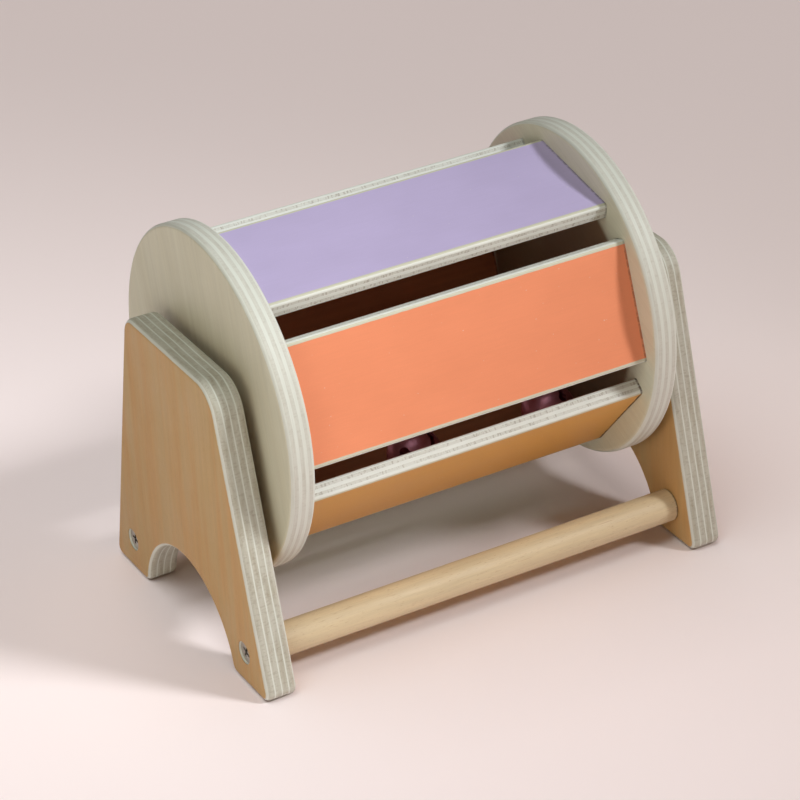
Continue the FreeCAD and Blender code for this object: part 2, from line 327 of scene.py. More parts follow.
def make_ply_group():
    """Layers of plywood across Z: light plies, darker end grain with pores, stains and a face mask."""
    graph, given, out = new_group(
        "Ply layers", "ShaderNodeTree",
        {"Point": "Vector", "Thickness": 12.0, "Plies": 9.0, "Light": "Color", "Dark": "Color",
         "Dark Amount": 0.8, "Line Width": 0.3, "Dot Amount": 0.45, "Face Depth": 0.25},
        {"Color": "Color", "Height": "Float", "Face": "Float", "Outer": "Float"})
    point = given["Point"]
    across = graph.split(point)[2]
    wander = graph.math("MULTIPLY_ADD", graph.noise(point, (0.035, 0.035, 0.02), 2, 0.5, 3.0), 0.36, -0.18)
    share = graph.math("DIVIDE", across, given["Thickness"])
    layer = graph.math("ADD", graph.times(graph.math("ADD", share, 0.5), given["Plies"]), wander)
    swing = graph.math("COSINE", graph.times(graph.math("SUBTRACT", layer, 0.5), math.pi))
    depth = graph.math("SUBTRACT", graph.times(given["Thickness"], 0.5), graph.math("ABSOLUTE", across))
    ply = graph.math("DIVIDE", given["Thickness"], given["Plies"])
    inner = graph.between(graph.rise(graph.math("DIVIDE", depth, ply), 0.45, 0.95), 0.3, 1.0)
    line_width = given["Line Width"]
    dark = graph.times(graph.rise(swing, line_width, graph.math("SUBTRACT", line_width, 0.35)), inner)
    seam = graph.rise(graph.math("ABSOLUTE", swing), 0.22, 0.0)
    stain = graph.rise(graph.noise(point, (0.09, 0.09, 0.5), 3, 0.6, 11.0), 0.38, 0.72)
    dots = graph.rise(graph.noise(point, (1.5, 1.5, 0.45), 2, 0.6, 5.0), 0.50, 0.66)
    thread = graph.noise(point, (0.15, 0.15, 3.5), 2, 0.5, 17.0)
    depth_of_dark = graph.math("MULTIPLY_ADD", stain, 0.4, 0.6)
    amount = graph.times(dark, depth_of_dark, given["Dark Amount"])
    tone = graph.mixed(amount, given["Light"], given["Dark"])
    tone = graph.lighter(tone, thread, 0.10)
    dot_tone = graph.mixed(1.0, given["Dark"], DOT_TINT, "MULTIPLY")
    dot_amount = graph.times(dots, dark, given["Dot Amount"])
    tone = graph.mixed(dot_amount, tone, dot_tone)
    tone = graph.mixed(graph.times(seam, 0.16), tone, given["Light"])
    ragged = graph.math("MULTIPLY_ADD", graph.noise(point, (0.5, 0.5, 0.5), 3, 0.6, 2.0), 0.12, -0.06)
    shallow = graph.math("SUBTRACT", given["Face Depth"], depth)
    graph.feed(out["Color"], tone)
    graph.feed(out["Height"], graph.math("MULTIPLY_ADD", dark, -0.35, graph.times(dots, dark, -0.5)))
    graph.feed(out["Face"], graph.rise(graph.math("SUBTRACT", shallow, ragged), -0.05, 0.05))
    graph.feed(out["Outer"], graph.rise(across, -0.5, 0.5))
    return graph.tree


def make_paint_group():
    """A rolled coat of satin paint over fine veneer: faint grain, mottling and a few pale nibs."""
    graph, given, out = new_group(
        "Paint film", "ShaderNodeTree",
        {"Point": "Vector", "Paint": "Color"}, {"Color": "Color", "Height": "Float", "Roughness": "Float"})
    point = given["Point"]
    telegraph = graph.noise(point, (0.10, 1.9, 1.0), 3, 0.6, 4.0)
    mottle = graph.noise(point, (0.05, 0.07, 0.07), 3, 0.5, 9.0)
    stipple = graph.noise(point, (2.2, 2.2, 2.2), 2, 0.6, 14.0)
    nibs = graph.rise(graph.noise(point, (1.3, 1.3, 1.3), 0, 0.5, 31.0), 0.87, 0.90)
    tone = graph.lighter(given["Paint"], telegraph, 0.035)
    tone = graph.lighter(tone, mottle, 0.05)
    tone = graph.lighter(tone, stipple, 0.03)
    tone = graph.mixed(graph.times(nibs, 0.35), tone, NIB_TONE)
    graph.feed(out["Color"], tone)
    fine = graph.math("MULTIPLY_ADD", stipple, 0.6, graph.times(telegraph, 0.5))
    graph.feed(out["Height"], graph.math("ADD", fine, graph.times(nibs, 0.8)))
    graph.feed(out["Roughness"], graph.between(mottle, 0.42, 0.56))
    return graph.tree


def make_handling_group():
    """Where hands and rubbing have polished or dulled a surface, as a roughness."""
    graph, given, out = new_group(
        "Handling", "ShaderNodeTree",
        {"Point": "Vector", "Smooth": 0.45, "Dull": 0.65}, {"Roughness": "Float", "Soil": "Float"})
    patches = graph.noise(given["Point"], (0.03, 0.05, 0.05), 4, 0.6, 40.0)
    scuffs = graph.noise(given["Point"], (0.3, 1.3, 1.3), 3, 0.6, 44.0)
    worn = graph.math("MULTIPLY_ADD", patches, 0.7, graph.times(scuffs, 0.3))
    graph.feed(out["Roughness"],
               graph.mixed_value(graph.rise(worn, 0.3, 0.7), given["Smooth"], given["Dull"]))
    graph.feed(out["Soil"], graph.rise(patches, 0.5, 0.8))
    return graph.tree


def shader_group(name):
    makers = {"Wood grain": make_grain_group, "Ply layers": make_ply_group,
              "Paint film": make_paint_group, "Handling": make_handling_group}
    return bpy.data.node_groups.get(name) or makers[name]()


# ---------------------------------------------------------------- materials

class Finish:
    """A material whose nodes read a point in millimetres from a place and along axes of the piece's own."""

    def __init__(self, name, centre, along, through):
        self.material = bpy.data.materials.new(name)
        self.material.use_nodes = True
        tree = self.material.node_tree
        tree.nodes.clear()
        self.graph = Graph(tree)
        self.shader = self.graph.add("ShaderNodeBsdfPrincipled")
        self.graph.add("ShaderNodeOutputMaterial", {"Surface": self.shader.outputs[0]})
        along, through = Vector(along).normalized(), Vector(through).normalized()
        turn = Matrix((along, through.cross(along), through)).transposed().to_euler()
        place = self.graph.add("ShaderNodeTexCoord").outputs["Object"]
        self.point = self.graph.put("ShaderNodeMapping", vector_type="TEXTURE", inputs={
            "Vector": place, "Location": centre, "Rotation": turn, "Scale": (MM, MM, MM)})

    def group(self, name, **inputs):
        node = self.graph.add("ShaderNodeGroup", {}, node_tree=shader_group(name))
        self.graph.feed(node.inputs["Point"], self.point)
        for label, value in inputs.items():
            self.graph.feed(node.inputs[label.replace("_", " ")], value)
        return node.outputs

    def finish(self, tone, roughness, height, relief):
        bump = self.graph.put("ShaderNodeBump", {"Height": height, "Distance": relief, "Strength": 0.5})
        for label, value in (("Base Color", tone), ("Roughness", roughness), ("Normal", bump)):
            self.graph.feed(self.shader.inputs[label], value)
        return self.material


def ply_material(name, centre, along, through, thickness, plies, face, streak, streak_amount=0.8, pores=0.25,
                 dark_amount=0.8, line_width=0.3, dots=0.1, dark=None, light=None, inside=None, paint=None,
                 paint_width=0.0, joint=None):
    """Plywood: veneer or paint on its faces and layers on its edges.

    inside is the radius in millimetres of the middle of a disc's inner face that is darkened with painted
    shade for the inside of the drum. joint is, for a slat, how far its pattern is shifted, the place of the
    discs' inner faces and how dark the painted shade line along them is, where the slat enters a disc's
    groove.
    """
    look = bpy.context.scene.spindrum_finishes
    made = Finish(name, centre, along, through)
    graph = made.graph
    pore_tone = tuple(0.45 * part for part in streak)
    grain = made.group("Wood grain", Base=opaque(face), Streak=opaque(streak), Pore=opaque(pore_tone),
                       Streak_Amount=streak_amount, Pore_Amount=pores)
    layers = made.group("Ply layers", Thickness=thickness / MM, Plies=float(plies),
                        Light=opaque(light or look.ply_light), Dark=opaque(dark or look.ply_dark),
                        Dark_Amount=dark_amount, Line_Width=line_width, Dot_Amount=dots)
    rubbed = made.group("Handling", Smooth=0.46, Dull=0.66)
    veneer = grain["Color"]
    if paint:
        veneer = graph.mixed(layers["Outer"], veneer, opaque(look.birch_face))
    tone = graph.mixed(layers["Face"], layers["Color"], veneer)
    # Painted shade: within the given radius a disc's inner face is darkened to the inside colour, for the
    # shade inside the drum.
    if inside:
        drum_shade_mask = graph.times(graph.rise(graph.from_axis(made.point), inside + 1.5, inside - 1.5),
                             graph.math("SUBTRACT", 1.0, layers["Outer"]))
        tone = graph.mixed(graph.times(drum_shade_mask, 0.9), tone, opaque(look.inside))
    roughness = rubbed["Roughness"]
    height = graph.mixed_value(layers["Face"], layers["Height"], grain["Height"])
    if paint:
        coat = made.group("Paint film", Paint=opaque(paint))
        aside = graph.math("ABSOLUTE", graph.split(made.point)[1])
        uneven = graph.math("MULTIPLY_ADD", graph.noise(made.point, (0.25, 0.25, 0.25), 3), 0.3, -0.15)
        edge = paint_width / 2 / MM
        painted = graph.rise(graph.math("ADD", aside, uneven), edge + 0.06, edge - 0.06)
        mask = graph.times(painted, layers["Face"], layers["Outer"])
        tone = graph.mixed(mask, tone, coat["Color"])
        roughness = graph.mixed_value(mask, roughness, coat["Roughness"])
        height = graph.mixed_value(mask, height, graph.times(coat["Height"], 0.35))
    # Painted shade: a dark, broken line on a slat where it enters a disc's groove, for the shade in the gap.
    if joint:
        shift, place, amount = joint
        along_slat = graph.math("ABSOLUTE", graph.math("ADD", graph.split(made.point)[0], shift))
        near = graph.rise(graph.math("SUBTRACT", place, along_slat), 0.85, 0.45)
        broken = graph.rise(graph.noise(made.point, (0.2, 0.55, 0.55), 2, 0.6, 8.0), 0.38, 0.56)
        gap_shade = graph.times(near, graph.math("MULTIPLY_ADD", broken, 0.6, 0.4))
        tone = graph.mixed(graph.times(gap_shade, amount), tone, JOINT_SHADE)
    return made.finish(tone, roughness, height, PLY_RELIEF)


def turned_wood_material(name, centre, shift, joint=None):
    """Close-grained turned wood with reddish flecks, and a dark ring of painted shade where it enters another
    piece.
    """
    look = bpy.context.scene.spindrum_finishes
    made = Finish(name, centre + ALONG * shift, ALONG, UPRIGHT)
    graph = made.graph
    pale = tuple(min(1.0, 1.12 * part) for part in look.dowel)
    grain = made.group("Wood grain", Base=opaque(look.dowel), Streak=opaque(pale),
                       Pore=opaque(look.dowel_fleck), Streak_Amount=0.8, Line_Amount=0.1, Pore_Amount=0.35)
    fleck = graph.rise(graph.noise(made.point, (0.5, 2.6, 2.6), 1, 0.5, 50.0), 0.68, 0.76)
    dark_line = graph.rise(graph.noise(made.point, (0.035, 2.1, 2.1), 1, 0.5, 60.0), 0.74, 0.79)
    tone = graph.mixed(graph.times(fleck, 0.35), grain["Color"], opaque(look.dowel_fleck))
    tone = graph.mixed(graph.times(dark_line, 0.5), tone, opaque(look.dowel_fleck))
    # Painted shade: a dark ring where a dowel goes into a stand.
    if joint:
        from_middle = graph.math("ABSOLUTE", graph.math("ADD", graph.split(made.point)[0], shift / MM))
        ragged = graph.times(graph.noise(made.point, (0.1, 1.6, 1.6), 2), 0.9)
        ring = graph.rise(graph.math("ADD", from_middle, ragged), joint - 0.55, joint + 0.15)
        tone = graph.mixed(graph.times(ring, 0.7), tone, RING_SHADE)
    rubbed = made.group("Handling", Smooth=0.42, Dull=0.6)
    return made.finish(tone, rubbed["Roughness"], grain["Height"], TURNED_RELIEF)


def metal_material(name, centre, tone, smooth, dull):
    """Metal with fine scratches, smudges and slightly uneven colour."""
    made = Finish(name, centre, ALONG, UPRIGHT)
    graph = made.graph
    rubbed = made.group("Handling", Smooth=smooth, Dull=dull)
    scratches = graph.rise(graph.noise(made.point, (0.4, 9.0, 9.0), 2, 0.6, 70.0), 0.62, 0.72)
    grimy = tuple(0.55 * part for part in tone)
    colour_now = graph.mixed(graph.times(rubbed["Soil"], 0.5), opaque(tone), opaque(grimy))
    made.shader.inputs["Metallic"].default_value = 1.0
    return made.finish(colour_now, rubbed["Roughness"], scratches, METAL_RELIEF)


# ---------------------------------------------------------------- geometry groups

def end_tree(graph, out, shape, material):
    solid = graph.geo("RealizeInstances", {"Geometry": shape})
    graph.feed(out[0], graph.geo("SetMaterial", {"Geometry": solid, "Material": material}))
    return graph.tree


def make_slat_ring_group():
    """Rounded boards round an axle: all of them, or only one."""
    graph, given, out = new_group(
        "Slat ring", "GeometryNodeTree",
        {"Length": 0.143, "Width": 0.0445, "Thickness": 0.006, "Edge Radius": 0.0012,
         "Outer Distance": 0.0524, "Clearance": 0.0, "First Turn": 0.0, "Count": 6, "Only": -1,
         "Axle": "Vector", "Material": "Material"},
        {"Geometry": "Geometry"})
    room = graph.times(given["Clearance"], 2.0)
    section = graph.geo("CurvePrimitiveQuadrilateral",
                        {"Width": graph.math("ADD", given["Width"], room),
                         "Height": graph.math("ADD", given["Thickness"], room)})
    edge_radius = graph.math("ADD", given["Edge Radius"], given["Clearance"])
    section = graph.geo("FilletCurve", {"Curve": section, "Count": 6, "Limit Radius": True,
                                        "Radius": edge_radius}, mode="POLY")
    half = graph.times(given["Length"], 0.5)
    line = graph.geo("CurvePrimitiveLine",
                     {"Start": graph.vector(graph.times(half, -1.0), 0.0, 0.0),
                      "End": graph.vector(half, 0.0, 0.0)})
    board = graph.geo("CurveToMesh", {"Curve": line, "Profile Curve": section, "Fill Caps": True})
    lift = graph.math("SUBTRACT", given["Outer Distance"], graph.times(given["Thickness"], 0.5))
    board = graph.geo("Transform", {"Geometry": board, "Translation": graph.vector(0.0, 0.0, lift)})
    index = graph.geo("InputIndex")
    step = graph.math("DIVIDE", 2 * math.pi, given["Count"])
    turn = graph.math("MULTIPLY_ADD", index, step, given["First Turn"])
    points = graph.geo("MeshLine", {"Count": given["Count"], "Start Location": given["Axle"],
                                    "Offset": (0.0, 0.0, 0.0)})
    every = graph.put("FunctionNodeCompare", {2: given["Only"], 3: 0}, data_type="INT", operation="LESS_THAN")
    this = graph.put("FunctionNodeCompare", {2: given["Only"], 3: index}, data_type="INT", operation="EQUAL")
    kept = graph.put("FunctionNodeBooleanMath", {0: every, 1: this}, operation="OR")
    ring = graph.geo("InstanceOnPoints",
                     {"Points": points, "Selection": kept, "Instance": board,
                      "Rotation": graph.vector(turn, 0.0, 0.0)})
    return end_tree(graph, out, ring, given["Material"])


def make_disc_group():
    """A turned disc with a rounded rim, grooved for the slat ring and bored for its axle."""
    graph, given, out = new_group(
        "Turned disc", "GeometryNodeTree",
        {"Radius": 0.0625, "Thickness": 0.0095, "Roundover": 0.0018, "Slices": 192, "Middle": "Vector",
         "Side": 1.0, "Axle Radius": 0.004, "Socket Depth": 0.006, "Slat Length": 0.143,
         "Slat Width": 0.0445, "Slat Thickness": 0.006, "Slat Edge Radius": 0.0012,
         "Slat Distance": 0.0524, "Clearance": 0.00015, "First Turn": 0.0, "Axle": "Vector",
         "Material": "Material"},
        {"Geometry": "Geometry"})
    section = graph.geo("CurvePrimitiveQuadrilateral",
                        {"Width": given["Radius"], "Height": given["Thickness"]})
    place = graph.geo("InputPosition")
    outward = graph.put("FunctionNodeCompare", {0: graph.split(place)[0], 1: 0.0}, operation="GREATER_THAN")
    rounding = graph.times(outward, given["Roundover"])
    section = graph.geo("FilletCurve", {"Curve": section, "Count": 8, "Limit Radius": True,
                                        "Radius": rounding}, mode="POLY")
    path = graph.geo("CurvePrimitiveCircle",
                     {"Resolution": given["Slices"], "Radius": graph.times(given["Radius"], 0.5)})
    disc = graph.geo("CurveToMesh", {"Curve": path, "Profile Curve": section})
    core = graph.put("FunctionNodeCompare", {0: graph.from_axis(place), 1: CORE_RADIUS},
                     operation="LESS_THAN")
    disc = graph.geo("DeleteGeometry", {"Geometry": disc, "Selection": core}, domain="FACE")
    disc = graph.geo("MergeByDistance", {"Geometry": disc, "Distance": CORE_MERGE})
    disc = graph.geo("Transform", {"Geometry": disc, "Translation": given["Middle"],
                                   "Rotation": (0.0, math.pi / 2, 0.0)})
    ring = graph.add("GeometryNodeGroup", {}, node_tree=geometry_group("Slat ring"))
    for label in ("Length", "Width", "Thickness", "Edge Radius"):
        graph.feed(ring.inputs[label], given["Slat " + label])
    for label in ("Clearance", "First Turn", "Axle"):
        graph.feed(ring.inputs[label], given[label])
    graph.feed(ring.inputs["Outer Distance"], given["Slat Distance"])
    bore = graph.geo("MeshCylinder", {"Vertices": BORE_SLICES, "Radius": given["Axle Radius"],
                                      "Depth": graph.times(given["Socket Depth"], 2.0)})
    to_outer_face = graph.vector(graph.times(given["Side"], given["Thickness"], 0.5), 0.0, 0.0)
    bore_place = graph.put("ShaderNodeVectorMath", {0: given["Middle"], 1: to_outer_face}, operation="ADD")
    bore = graph.geo("Transform", {"Geometry": bore, "Translation": bore_place,
                                   "Rotation": (0.0, math.pi / 2, 0.0)})
    disc = graph.geo("MeshBoolean", {"Mesh 1": disc, "Mesh 2": [ring.outputs[0], bore]},
                     operation="DIFFERENCE", solver="EXACT")
    return end_tree(graph, out, disc, given["Material"])


def make_screw_group():
    """Countersunk wood screws at both ends of two dowels, each turned by a different amount."""
    graph, given, out = new_group(
        "Countersunk screws", "GeometryNodeTree",
        {"Radius": 0.002, "Head Radius": 0.004, "Head Depth": 0.0026, "Length": 0.038,
         "Thread Pitch": 0.0018, "Thread Depth": 0.00055, "Recess Width": 0.0011, "Recess Span": 0.0046,
         "Recess Depth": 0.0016, "Reach": 0.0925, "Front": "Vector", "Back": "Vector", "Seed": 4,
         "Material": "Material"},
        {"Geometry": "Geometry"})
    size = given["Length"]
    tip_place = graph.vector(graph.times(size, -1.0), 0.0, 0.0)
    line = graph.geo("CurvePrimitiveLine", {"Start": (0.0, 0.0, 0.0), "End": tip_place})
    line = graph.geo("ResampleCurve", {"Curve": line, "Count": SCREW_RINGS}, mode="COUNT")
    run = graph.add("GeometryNodeSplineParameter").outputs["Length"]
    cone_share = graph.math("DIVIDE", run, given["Head Depth"])
    head = graph.mixed_value(cone_share, given["Head Radius"], given["Radius"])
    left = graph.math("DIVIDE", graph.math("SUBTRACT", size, run), graph.times(given["Radius"], 2.2))
    tip = graph.math("MAXIMUM", graph.math("MINIMUM", left, 1.0), SCREW_TIP)
    phase = graph.math("FRACT", graph.math("DIVIDE", run, given["Thread Pitch"]))
    crest = graph.math("ABSOLUTE", graph.math("MULTIPLY_ADD", phase, 2.0, -1.0))
    threaded = graph.rise(run, THREAD_START, THREAD_FULL)
    cut = graph.times(threaded, given["Thread Depth"], graph.math("SUBTRACT", 1.0, crest))
    shank = graph.times(graph.math("SUBTRACT", given["Radius"], cut), tip)
    in_head = graph.math("LESS_THAN", cone_share, 1.0)
    reach = graph.mixed_value(in_head, shank, head)
    ring = graph.geo("CurvePrimitiveCircle", {"Resolution": SCREW_SLICES, "Radius": 1.0})
    body = graph.geo("CurveToMesh", {"Curve": line, "Profile Curve": ring, "Scale": reach,
                                     "Fill Caps": True})
    deep = graph.times(given["Recess Depth"], 2.0)
    for wide, tall in (("Recess Span", "Recess Width"), ("Recess Width", "Recess Span")):
        arm = graph.geo("MeshCube", {"Size": graph.vector(deep, given[wide], given[tall])})
        body = graph.geo("MeshBoolean", {"Mesh 1": body, "Mesh 2": arm}, operation="DIFFERENCE",
                         solver="EXACT")
    index = graph.geo("InputIndex")
    right = graph.math("MODULO", index, 2.0)
    behind = graph.math("GREATER_THAN", index, 1.5)
    spot = graph.add("ShaderNodeMix", {0: behind, 4: given["Front"], 5: given["Back"]},
                     data_type="VECTOR").outputs[1]
    side = graph.math("MULTIPLY_ADD", right, 2.0, -1.0)
    ends = graph.put("ShaderNodeVectorMath",
                     {0: spot, 1: graph.vector(graph.times(side, given["Reach"]), 0.0, 0.0)},
                     operation="ADD")
    points = graph.geo("MeshLine", {"Count": 4, "Offset": (0.0, 0.0, 0.0)})
    points = graph.geo("SetPosition", {"Geometry": points, "Position": ends})
    spin = graph.add("FunctionNodeRandomValue", {2: 0.0, 3: math.pi / 2, 7: index, 8: given["Seed"]},
                     data_type="FLOAT").outputs[1]
    half_turn = graph.times(graph.math("SUBTRACT", 1.0, right), math.pi)
    screws = graph.geo("InstanceOnPoints", {"Points": points, "Instance": body,
                                            "Rotation": graph.vector(spin, 0.0, half_turn)})
    return end_tree(graph, out, screws, given["Material"])


def geometry_group(name):
    makers = {"Slat ring": make_slat_ring_group, "Turned disc": make_disc_group,
              "Countersunk screws": make_screw_group}
    return bpy.data.node_groups.get(name) or makers[name]()


# ---------------------------------------------------------------- making pieces

def evaluated_mesh(thing):
    bpy.context.view_layer.update()
    seen = thing.evaluated_get(bpy.context.evaluated_depsgraph_get())
    mesh = bpy.data.meshes.new_from_object(seen)
    thing.modifiers.clear()
    thing.data = mesh
    mesh.name = thing.name
    return mesh


def smoothed(thing):
    """Joins doubled points, turns faces outwards and gives flat faces flat normals beside rounded edges."""
    mesh = evaluated_mesh(thing)
    shape = bmesh.new()
    shape.from_mesh(mesh)
    bmesh.ops.remove_doubles(shape, verts=shape.verts, dist=MERGE_DISTANCE)
    bmesh.ops.dissolve_degenerate(shape, edges=shape.edges, dist=MERGE_DISTANCE)
    bmesh.ops.recalc_face_normals(shape, faces=shape.faces)
    for face in shape.faces:
        face.smooth = True
    for edge in shape.edges:
        edge.smooth = len(edge.link_faces) == 2 and edge.calc_face_angle(0.0) < SHARP_ANGLE
    shape.to_mesh(mesh)
    shape.free()
    weights = thing.modifiers.new("Flat faces", "WEIGHTED_NORMAL")
    weights.keep_sharp = True
    weights.weight = 100
    evaluated_mesh(thing)
    return thing


def placed(name, mesh, material=None):
    thing = bpy.data.objects.new(name, mesh)
    bpy.context.scene.collection.objects.link(thing)
    if material:
        mesh.materials.append(material)
    return thing


def grown(name, group, **values):
    """The piece that a Geometry Nodes group makes from these named inputs."""
    tree = geometry_group(group)
    thing = placed(name, bpy.data.meshes.new(name))
    modifier = thing.modifiers.new("Shape", "NODES")
    modifier.node_group = tree
    wanted = {key.replace("_", " "): value for key, value in values.items()}
    for item in tree.interface.items_tree:
        if item.item_type == "SOCKET" and item.in_out == "INPUT" and item.name in wanted:
            modifier[item.identifier] = wanted.pop(item.name)
    if wanted:
        raise ValueError(f"{group} has no input {sorted(wanted)}")
    return smoothed(thing)


def turned(name, outline, centre, material, slices=64):
    """A piece turned about a line along X: outline is (place along X, radius) from end to end."""
    shape = bmesh.new()
    rings = []
    for x, radius in outline:
        if radius == 0:
            rings.append([shape.verts.new((x, centre.y, centre.z))])
            continue
        rings.append([shape.verts.new((x, centre.y + radius * math.cos(2 * math.pi * step / slices),
                                       centre.z + radius * math.sin(2 * math.pi * step / slices)))
                      for step in range(slices)])
    for first, second in zip(rings, rings[1:]):
        for step in range(slices):
            after = (step + 1) % slices
            corners = [first[step % len(first)], first[after % len(first)],
                       second[after % len(second)], second[step % len(second)]]
            shape.faces.new(list(dict.fromkeys(corners)))
    mesh = bpy.data.meshes.new(name)
    shape.to_mesh(mesh)
    shape.free()
    return smoothed(placed(name, mesh, material))


def finished(thing, body, slot, *nodes):
    """Puts a finished piece on its CAD body, in place of these CAD nodes."""
    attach(thing, body)
    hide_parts(*nodes)
    return thing


def coated(node, material):
    """Gives a CAD node that keeps its shape a better material."""
    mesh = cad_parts[node].data
    for number in range(len(mesh.materials)):
        mesh.materials[number] = material


# ---------------------------------------------------------------- operators

class SPINDRUM_OT_stands(bpy.types.Operator):
    """Finish the two plywood stands"""
    bl_idname = "spindrum.stands"
    bl_label = "Stands"

    def execute(self, context):
        look = context.scene.spindrum_finishes
        for side, name in ((-1, "left"), (1, "right")):
            node = name + "_stand"
            coated(node, ply_material(node + "_ply", middle(node), UPRIGHT, (side, 0, 0), extent(node).x,
                                      STAND_PLIES, look.stand_face, look.stand_streak, line_width=0.95,
                                      dots=0.25, dark=look.stand_dark))
        return {"FINISHED"}


class SPINDRUM_OT_discs(bpy.types.Operator):
    """Make the two grooved discs"""
    bl_idname = "spindrum.discs"
    bl_label = "Discs"

    def execute(self, context):
        look, sizes = context.scene.spindrum_finishes, context.scene.spindrum_sizes
        for side, name in ((-1, "left"), (1, "right")):
            node, lean = name + "_disc", math.radians(DISC_LEAN[name])
            grain_way = (0, math.sin(lean), math.cos(lean))
            wood = ply_material(node + "_ply", middle(node), grain_way, (side, 0, 0), extent(node).x,
                                DISC_PLIES, look.birch_face, look.birch_streak, streak_amount=0.35,
                                pores=0.05, dark_amount=0.42,
                                # painted shade on each disc's inner face, out to the slats' inner faces
                                inside=(sizes.slat_apothem - sizes.slat_thickness) / MM)
            disc = grown(name + "_turned_disc", "Turned disc", Radius=extent(node).z / 2,
                         Thickness=extent(node).x, Roundover=sizes.disc_roundover,
                         Slices=context.scene.spindrum_stage.slices, Middle=middle(node), Side=float(side),
                         Axle_Radius=sizes.axle_radius, Socket_Depth=sizes.socket_depth,
                         Slat_Length=extent("green_slat").x,
                         Slat_Width=sizes.slat_width, Slat_Thickness=sizes.slat_thickness,
                         Slat_Edge_Radius=sizes.slat_edge_radius, Slat_Distance=sizes.slat_apothem,
                         Clearance=sizes.groove_clearance, First_Turn=sizes.first_turn, Axle=AXLE_MIDDLE,
                         Material=wood)
            finished(disc, "drum", "disc_ply", node)
        return {"FINISHED"}


class SPINDRUM_OT_slats(bpy.types.Operator):
    """Make the six painted slats"""
    bl_idname = "spindrum.slats"
    bl_label = "Slats"

    def execute(self, context):
        look, sizes = context.scene.spindrum_finishes, context.scene.spindrum_sizes
        disc_inner = min(abs(edge.x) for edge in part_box("right_disc")) / MM
        for number, name in enumerate(SLATS):
            turn = sizes.first_turn + number * 2 * math.pi / len(SLATS)
            outward = Vector((0, -math.sin(turn), math.cos(turn)))
            centre = AXLE_MIDDLE + outward * (sizes.slat_apothem - sizes.slat_thickness / 2)
            centre.x = PATTERN_STEP * number
            # The slats' inner faces take the slat back colours, which hold painted shade from inside the
            # drum.
            wood = ply_material(name + "_paint", centre, ALONG, outward, sizes.slat_thickness, SLAT_PLIES,
                                look.slat_back, look.slat_back_streak, dark_amount=0.42, line_width=0.1,
                                dots=0.45, light=look.slat_edge, paint=getattr(look, name),
                                paint_width=sizes.slat_width - 2.5 * sizes.slat_edge_radius,
                                # painted shade line at the slat's ends, darker on the ochre slat
                                joint=(centre.x / MM, disc_inner, 0.9 if name == "ochre" else 0.45))
            board = grown(name + "_board", "Slat ring", Length=extent(name + "_slat").x,
                          Width=sizes.slat_width, Thickness=sizes.slat_thickness,
                          Edge_Radius=sizes.slat_edge_radius, Outer_Distance=sizes.slat_apothem,
                          First_Turn=sizes.first_turn, Count=len(SLATS), Only=number, Axle=AXLE_MIDDLE,
                          Material=wood)
            finished(board, "drum", name, name + "_slat")
        return {"FINISHED"}


class SPINDRUM_OT_dowels(bpy.types.Operator):
    """Make the two cross dowels"""
    bl_idname = "spindrum.dowels"
    bl_label = "Dowels"

    def execute(self, context):
        for number, node in enumerate(("front_dowel", "rear_dowel")):
            low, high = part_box(node)
            radius, ease = (high.z - low.z) / 2, DOWEL_EASE
            outline = [(low.x, 0), (low.x, radius - ease), (low.x + ease, radius),
                       (high.x - ease, radius), (high.x, radius - ease), (high.x, 0)]
            centre = middle(node)
            wood = turned_wood_material(node + "_wood", centre, 0.3 * number,
                                        min(abs(edge.x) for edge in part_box("right_stand")) / MM)
            rod = turned(node + "_rod", outline, centre, wood, 96)
            finished(rod, "stand_frame", "dowel_wood", node)
        return {"FINISHED"}


class SPINDRUM_OT_axles(bpy.types.Operator):
    """Make the two stub axles with their collars"""
    bl_idname = "spindrum.axles"
    bl_label = "Axles"

    def execute(self, context):
        sizes, ease = context.scene.spindrum_sizes, AXLE_EASE
        for side, name in ((-1, "left"), (1, "right")):
            low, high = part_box(name + "_axle")
            inner, outer = sorted((low.x, high.x), key=abs)
            disc_face = side * max(abs(edge.x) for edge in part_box(name + "_disc"))
            collar_end = side * (abs(disc_face) + COLLAR_WIDTH)
            peg, collar = sizes.axle_radius, sizes.collar_radius
            outline = [(inner, 0), (inner, peg), (disc_face, peg), (disc_face, collar - ease),
                       (disc_face + side * ease, collar), (collar_end - side * ease, collar),
                       (collar_end, collar - ease), (collar_end, peg), (outer - side * ease, peg),
                       (outer, peg - ease), (outer, 0)]
            wood = turned_wood_material(name + "_axle_wood", AXLE_MIDDLE, side * 0.5)
            axle = turned(name + "_axle_peg", outline, AXLE_MIDDLE, wood)
            finished(axle, "drum", "axle_wood", name + "_axle")
        return {"FINISHED"}


class SPINDRUM_OT_screws(bpy.types.Operator):
    """Make the four foot screws"""
    bl_idname = "spindrum.screws"
    bl_label = "Screws"

    def execute(self, context):
        look, sizes = context.scene.spindrum_finishes, context.scene.spindrum_sizes
        metal = metal_material("screw_zinc", middle("foot_screws"), look.steel, 0.32, 0.5)
        front, back = middle("front_dowel"), middle("rear_dowel")
        screws = grown("foot_screw_set", "Countersunk screws", Radius=sizes.screw_radius,
                       Head_Radius=sizes.screw_head_radius, Head_Depth=sizes.screw_head_depth,
                       Recess_Width=sizes.recess_width, Recess_Span=sizes.recess_span,
                       Recess_Depth=sizes.recess_depth, Reach=extent("foot_screws").x / 2,
                       Front=front, Back=back, Material=metal)
        finished(screws, "stand_frame", "screw_steel", "foot_screws")
        return {"FINISHED"}


